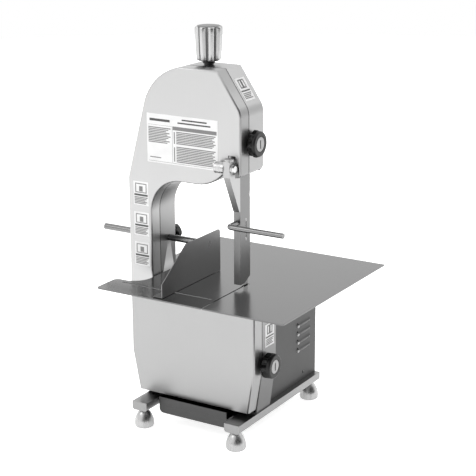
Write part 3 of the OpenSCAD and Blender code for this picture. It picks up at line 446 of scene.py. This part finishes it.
def door_knob(node, name):
    low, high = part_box(node)
    middle = (low + high) / 2
    length, radius = high.x - low.x, (high.z - low.z) / 2
    base = Vector((low.x, middle.y, middle.z))
    along_x = Vector((1, 0, 0))
    neck, lobed, face = 0.14 * length, 0.66 * length, length
    grip = turned(name, knob_finish, body_of[node], base, along_x,
                  [(0, 0.38 * radius, 0), (neck, 0.38 * radius, 0), (neck, 0.80 * radius, 0),
                   (neck + 2 * MM, 0.94 * radius, 4 * MM), (neck + 4 * MM, radius, 6.5 * MM),
                   (lobed - 2 * MM, radius, 6.5 * MM), (lobed, 0.985 * radius, 5 * MM),
                   (lobed + 1 * MM, 0.93 * radius, 0.4 * MM), (lobed + 2 * MM, 0.93 * radius, 0),
                   (face - 2 * MM, 0.92 * radius, 0), (face - 0.6 * MM, 0.88 * radius, 0),
                   (face, 0.83 * radius, 0), (face, 0.55 * radius, 0), (face - 1.2 * MM, 0.53 * radius, 0)],
                  lobes=8)
    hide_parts(node)
    turned(name + "_face", knob_face_finish, body_of[node], base, along_x,
           [(face - 0.4 * MM, 0.84 * radius, 0), (face + 0.15 * MM, 0.82 * radius, 0),
            (face + 0.15 * MM, 0.56 * radius, 0), (face - 0.4 * MM, 0.55 * radius, 0)])
    turned(name + "_insert", insert_finish, body_of[node], base, along_x,
           [(face - 1.3 * MM, 0.53 * radius, 0), (face - 0.5 * MM, 0.53 * radius, 0),
            (face - 0.2 * MM, 0.50 * radius, 0)])
    mark = bmesh.new()
    bmesh.ops.create_cube(mark, size=1.0, matrix=Matrix.Translation(base + along_x * (face - 0.15 * MM))
                          @ Matrix.Diagonal((0.2 * MM, 0.12 * radius, 0.62 * radius, 1.0)))
    piece(name + "_mark", mark, knob_face_finish, body_of[node])


door_knob("upper_door_knob", "upper_grip")
door_knob("lower_door_knob", "lower_grip")
dress(knob_finish, "fence_lock_knob", "rod_clamp_knob")

# --- Tension knob ----------------------------------------------------------------------------
# Turned from aluminium bar, milled with eight flutes and polished. It stands on two black
# washers over the screw that lifts the upper wheel. The flutes' bottoms are coloured darker, a painted shade in
# the hollows.


def polished(name, tone, roughness):
    """Turned metal with faint upright streaks."""
    finish = Finish(name, metallic=1.0)
    smear = finish.noise((1, 1, 0.02), 260.0, 2.0)
    finish.feed(base_color=finish.mix(smear, grey(tone * 0.72), grey(tone * 1.28)),
                roughness=roughness + 0.08 * smear)
    return finish


polish = polished("polished_aluminium", 0.43, 0.24)
# Painted shade for the hollows of the flutes.
flute_shade = polished("flute_painted_shade", 0.11, 0.35)
crown_low, crown_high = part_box("tension_knob")
crown_height = crown_high.z - crown_low.z
crown_middle = (crown_low + crown_high) / 2
crown_base = Vector((crown_middle.x, crown_middle.y, crown_low.z))
crown_radius = 0.97 * (crown_high.x - crown_low.x) / 2
crown = turned("tension_crown", polish, "tension_knob", crown_base, Vector((0, 0, 1)),
               [(0, 0.74 * crown_radius, 2 * MM), (1.5 * MM, 0.84 * crown_radius, 4 * MM),
                (4 * MM, 0.89 * crown_radius, 5 * MM), (0.3 * crown_height, 0.95 * crown_radius, 6 * MM),
                (crown_height - 16 * MM, crown_radius, 6.5 * MM),
                (crown_height - 7 * MM, 0.995 * crown_radius, 6 * MM),
                (crown_height - 5 * MM, 0.97 * crown_radius, 4.5 * MM),
                (crown_height - 4 * MM, 0.93 * crown_radius, 3 * MM),
                (crown_height - 3.6 * MM, 0.88 * crown_radius, 1 * MM),
                (crown_height - 3.4 * MM, 0.80 * crown_radius, 0)], lobes=8, sharp=60, bottoms=flute_shade)
turned("tension_cap", polished("cap_end", 0.16, 0.35), "tension_knob", crown_base,
       Vector((0, 0, 1)),
       [(crown_height - 3.5 * MM, 0.84 * crown_radius, 0), (crown_height - 2.6 * MM, 0.80 * crown_radius, 0),
        (crown_height - 1.6 * MM, 0.5 * crown_radius, 0)])
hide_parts("tension_knob")
dress(moulded("black_oxide", grey(0.03), 0.4), "tension_washers")
dress(polish, "guard_lock_knob")

# --- Motor housing ---------------------------------------------------------------------------
# A darker sheet box bolted behind the lower body, with pressed louvres on the right-hand side
# and a slotted rear cover that slips inside it.
housing_finish = brushed("housing_sheet", 0.062, 0.42, (700, 700, 40))
eased("motor_housing", housing_finish, 0.6 * MM)
eased("housing_rear_cover", housing_finish, 0.6 * MM)

# Each louvre is a pressed hood with painted highlights on its ends; one screw head shows low on the side, with
# a painted glint on it.


def lens_shape(name, centre, half, finish, body):
    """A flat round swelling, half sunk in the sheet it is pressed from."""
    mesh = bmesh.new()
    bmesh.ops.create_uvsphere(mesh, u_segments=28, v_segments=16, radius=1.0,
                              matrix=Matrix.Translation(centre) @ Matrix.Diagonal((*half, 1.0)))
    return piece(name, mesh, finish, body)


LOUVRES, LOUVRE_PITCH, LOUVRE_LENGTH = 4, 20 * MM, 55 * MM
HOOD_RISE = 3.5 * MM
housing_low, housing_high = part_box("motor_housing")
wall_x = housing_high.x - HOOD_RISE
hood_middle = housing_high.y - 29 * MM - LOUVRE_LENGTH / 2
hood_low = housing_low.z + 78 * MM
hood_sheet = brushed("pressed_hood", 0.10, 0.40, (700, 700, 40))
# Pale finishes for the painted highlights on the louvre ends and the screw head.
louvre_painted_highlight = moulded("louvre_painted_highlight", grey(0.52), 0.3)
dim_painted_highlight = moulded("dim_painted_highlight", grey(0.22), 0.3)
for number in range(LOUVRES):
    centre = Vector((wall_x, hood_middle, hood_low + number * LOUVRE_PITCH))
    lens_shape(f"louvre_hood_{number + 1}", centre, (2.6 * MM, LOUVRE_LENGTH / 2, 4.6 * MM), hood_sheet, "root")
    lens_shape(f"louvre_front_{number + 1}", centre + Vector((0.8 * MM, 3 * MM - LOUVRE_LENGTH / 2, -0.5 * MM)),
               (2.2 * MM, 4.5 * MM, 5.0 * MM), louvre_painted_highlight, "root")
    lens_shape(f"louvre_back_{number + 1}", centre + Vector((0.8 * MM, LOUVRE_LENGTH / 2 - 2 * MM, 0.5 * MM)),
               (1.6 * MM, 2.6 * MM, 3.6 * MM), dim_painted_highlight, "root")
lens_shape("side_screw", Vector((wall_x, hood_middle, housing_low.z + 18 * MM)), (1.6 * MM, 4 * MM, 4 * MM),
           knob_face_finish, "root")
lens_shape("side_screw_shine", Vector((wall_x + 1.2 * MM, hood_middle + 1 * MM, housing_low.z + 19.5 * MM)),
           (0.6 * MM, 1.3 * MM, 1.3 * MM), dim_painted_highlight, "root")

# --- Base: rails, braces, runners and tray -----------------------------------------------------
# Two folded rails joined by braces carry the machine; the drip tray slides out on angle
# runners between them. The tray is dull sheet, the rails satin.
rail_finish = brushed("satin_rail", 0.28, 0.30, (700, 30, 700))
for node in ("rail_left", "rail_right", "base_braces", "tray_runners"):
    eased(node, rail_finish, 0.6 * MM)
tray_finish = brushed("tray_sheet", 0.075, 0.38, (30, 700, 700))
eased("drip_tray", tray_finish, 0.4 * MM)

# --- Feet ----------------------------------------------------------------------------------------
# Bell-shaped adjustable feet, turned from bar and polished, on threaded studs. Each has a
# short neck, a full dome and a rim that is rounded under to the bench.
BELL = [(0.0, 0.84), (0.03, 0.93), (0.08, 0.98), (0.15, 1.0), (0.25, 1.0), (0.36, 0.98), (0.48, 0.93),
        (0.60, 0.85), (0.71, 0.75), (0.81, 0.63), (0.89, 0.51), (0.95, 0.42), (1.0, 0.38)]
for node in ("foot_front_left", "foot_front_right", "foot_rear_left", "foot_rear_right"):
    low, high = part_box(node)
    middle, height, reach = (low + high) / 2, high.z - low.z, (high.x - low.x) / 2
    base = Vector((middle.x, middle.y, low.z))
    bell = turned(node + "_bell", polish, "root", base, Vector((0, 0, 1)),
                  [(part * height, width * reach, 0) for part, width in BELL], sharp=60)
    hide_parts(node)

# --- Switch box, buttons and cord gland ------------------------------------------------------------
# A moulded box on the left-hand side with a flush green start button and a proud red stop
# button; the mains lead enters at the rear through a black gland.
dress(moulded("box_moulding", grey(0.05), 0.45), "switch_box")
dress(moulded("green_button", (0.02, 0.22, 0.05, 1.0), 0.3), "start_button")
dress(moulded("red_button", (0.45, 0.015, 0.01, 1.0), 0.3), "stop_button")
dress(knob_finish, "cord_gland")

# --- Labels ----------------------------------------------------------------------------------------
# Printed white film stuck on the door and the casing. Rules and bars stand for the print,
# without any words or signs.
film = moulded("white_film", grey(0.78), 0.35, 300.0, 0.00001)
ink = moulded("grey_ink", grey(0.06), 0.5, 300.0, 0.00001)
pale_ink = moulded("pale_ink", grey(0.19), 0.5, 300.0, 0.00001)
FILM_T = 0.15 * MM
INK_T = 0.03 * MM


def label(name, body, corner, across, down, marks):
    """A film plate. Marks are (left, top, right, bottom, ink) as parts of its width and height."""
    outward = across.cross(down).normalized() * -1

    def slab(mesh, left, top, right, bottom, lift, index):
        spots = [corner + across * u + down * v for u, v in
                 ((left, top), (left, bottom), (right, bottom), (right, top))]
        base = [mesh.verts.new(spot) for spot in spots]
        face = [mesh.verts.new(spot + outward * lift) for spot in spots]
        faces = [mesh.faces.new(face)]
        for k in range(4):
            faces.append(mesh.faces.new((base[k], base[(k + 1) % 4], face[(k + 1) % 4], face[k])))
        for made in faces:
            made.material_index = index

    mesh = bmesh.new()
    slab(mesh, 0, 0, 1, 1, FILM_T, 0)
    for order, (left, top, right, bottom, index) in enumerate(marks):
        slab(mesh, left, top, right, bottom, FILM_T + INK_T + 0.001 * MM * order, index)
    bmesh.ops.recalc_face_normals(mesh, faces=mesh.faces)
    plate = piece(name, mesh, film, body)
    plate.data.materials.append(ink.material)
    plate.data.materials.append(pale_ink.material)
    plate.data.shade_flat()
    return plate


def ruled(left, top, right, bottom, rows, index, ragged=0.2):
    """Rows of print as bars with ragged right-hand ends."""
    pitch = (bottom - top) / rows
    return [(left, top + row * pitch, right - (right - left) * ragged * ((row * 7) % 5) / 4,
             top + (row + 0.66) * pitch, index) for row in range(rows)]


door_low, door_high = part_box("upper_door")
front = door_low.y
main_corner = Vector((door_low.x + 53 * MM, front, door_high.z - 103 * MM))
main_marks = [(0.02, 0.225, 0.355, 0.23, 2), (0.37, 0.22, 0.985, 0.295, 2),
              (0.04, 0.10, 0.33, 0.15, 1), (0.50, 0.06, 0.85, 0.09, 1), (0.44, 0.125, 0.90, 0.155, 1),
              (0.04, 0.88, 0.2, 0.90, 2), (0.02, 0.965, 0.98, 0.972, 2), (0.362, 0.22, 0.366, 0.96, 2)]
main_marks += ruled(0.02, 0.27, 0.34, 0.60, 10, 2) + ruled(0.42, 0.32, 0.97, 0.58, 8, 2, 0.08)
main_marks += ruled(0.42, 0.62, 0.97, 0.95, 10, 2, 0.08)
main_marks += [(0.385, 0.33, 0.40, 0.57, 2), (0.385, 0.64, 0.40, 0.93, 2)]
MAIN_W, MAIN_H = 177 * MM, 106 * MM
label("main_label", "upper_door", main_corner, Vector((MAIN_W, 0, 0)), Vector((0, 0, -MAIN_H)),
      main_marks)

COLUMN_LABELS = 3
LABEL_W, LABEL_H, LABEL_PITCH = 39 * MM, 53 * MM, 68 * MM
for number in range(COLUMN_LABELS):
    corner = Vector((door_low.x + 14 * MM, front, door_high.z - 256 * MM - number * LABEL_PITCH))
    marks = [(0.12, 0.08, 0.88, 0.48, 2), (0.18, 0.12, 0.82, 0.44, 0), (0.38, 0.2, 0.62, 0.42, 2),
             (0.05, 0.53, 0.95, 0.61, 1)] + ruled(0.06, 0.65, 0.95, 0.97, 5, 2)
    label(f"column_label_{number + 1}", "upper_door", corner,
          Vector((LABEL_W, 0, 0)), Vector((0, 0, -LABEL_H)), marks)

# Two more on the right-hand side of the casing: on the slope of the head and by the lower knob.
SIDE_W, SIDE_H = 38 * MM, 52 * MM
side_marks = [(0.20, 0.06, 0.80, 0.46, 2), (0.30, 0.12, 0.70, 0.40, 0), (0.42, 0.10, 0.58, 0.44, 1),
              (0.06, 0.54, 0.94, 0.60, 1)] + ruled(0.10, 0.66, 0.92, 0.94, 4, 2)
seam = casing_front + 8 * MM
slope_down = Vector((0.559, 0, -0.829))
slope_top = Vector((door_low.x + 245 * MM, seam, door_high.z - 22 * MM))
label("slope_label", "root", slope_top, Vector((0, SIDE_W, 0)), slope_down * SIDE_H, side_marks)
lower_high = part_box("lower_door")[1]
low_corner = Vector((lower_high.x, seam + 6 * MM, lower_high.z - 45 * MM))
label("low_side_label", "root", low_corner, Vector((0, SIDE_W, 0)), Vector((0, 0, -SIDE_H)),
      side_marks)

# --- Floor and studio ----------------------------------------------------------------------------
# A pale sweep under soft lights. The room is bright on the left, behind and overhead, and
# darker on the operator's right, so that the bends in the sheet show.
floor_mesh = bmesh.new()
bmesh.ops.create_circle(floor_mesh, cap_ends=True, radius=6.0, segments=96)
floor_data = bpy.data.meshes.new("floor")
floor_mesh.to_mesh(floor_data)
floor_mesh.free()
floor = bpy.data.objects.new("floor", floor_data)
floor.location.z = -0.2 * MM
bpy.context.scene.collection.objects.link(floor)
floor_finish = Finish("pale_floor", roughness=0.9, emission_strength=0.75)
floor_finish.shader.inputs["Emission Color"].default_value = grey(1.0)
floor_finish.feed(base_color=floor_finish.mix(floor_finish.noise((1, 1, 1), 3.0), grey(0.93), grey(0.95)))
floor_data.materials.append(floor_finish.material)

world = bpy.data.worlds.new("studio")
bpy.context.scene.world = world
room = Nodes(world)
DARK_SIDE = math.radians(62)
toward = room.add("VectorMath", {"operation": "DOT_PRODUCT"},
                  {0: room.add("TexCoord", {}, {}, "Generated"),
                   1: (math.sin(DARK_SIDE), -math.cos(DARK_SIDE), 0.0)}, "Value")
shade = room.add("MapRange", {"interpolation_type": "SMOOTHSTEP"},
                 {"Value": toward, "From Min": 0.35, "From Max": 0.85, "To Min": 0.0, "To Max": 1.0})
seen = room.add("LightPath", {}, {}, "Is Camera Ray")
glow = room.mix(shade, grey(1.3), grey(0.08))
room.join(room.mix(seen, glow, grey(1.0)), room.tree.nodes["Background"].inputs["Color"])


def soft_light(name, spot, size, power):
    data = bpy.data.lights.new(name, "AREA")
    data.shape, data.size, data.energy = "DISK", size, power
    lamp = bpy.data.objects.new(name, data)
    lamp.location = spot
    lamp.rotation_euler = (Vector((0, 0, 0.4)) - Vector(spot)).to_track_quat("-Z", "Y").to_euler()
    bpy.context.scene.collection.objects.link(lamp)


soft_light("key", (-1.6, -2.2, 2.6), 1.6, 14)
soft_light("back", (1.6, 2.0, 2.4), 1.4, 8)

# --- Camera -----------------------------------------------------------------------------------------
# A long lens from the operator's right, a little above the table.
lens = bpy.data.cameras.new("camera")
lens.lens, lens.sensor_width = 106.5, 36.0
lens.clip_end = 50
camera = bpy.data.objects.new("camera", lens)
turn_round = Matrix.Rotation(math.radians(31.322), 4, "Z")
tip_down = Matrix.Rotation(math.radians(90 - 16.453), 4, "X")
roll = Matrix.Rotation(math.radians(-0.212), 4, "Z")
camera.matrix_world = Matrix.Translation((1.5685, -2.5077, 1.2964)) @ turn_round @ tip_down @ roll
bpy.context.scene.collection.objects.link(camera)
bpy.context.scene.camera = camera
bpy.context.scene.view_settings.view_transform = "Standard"
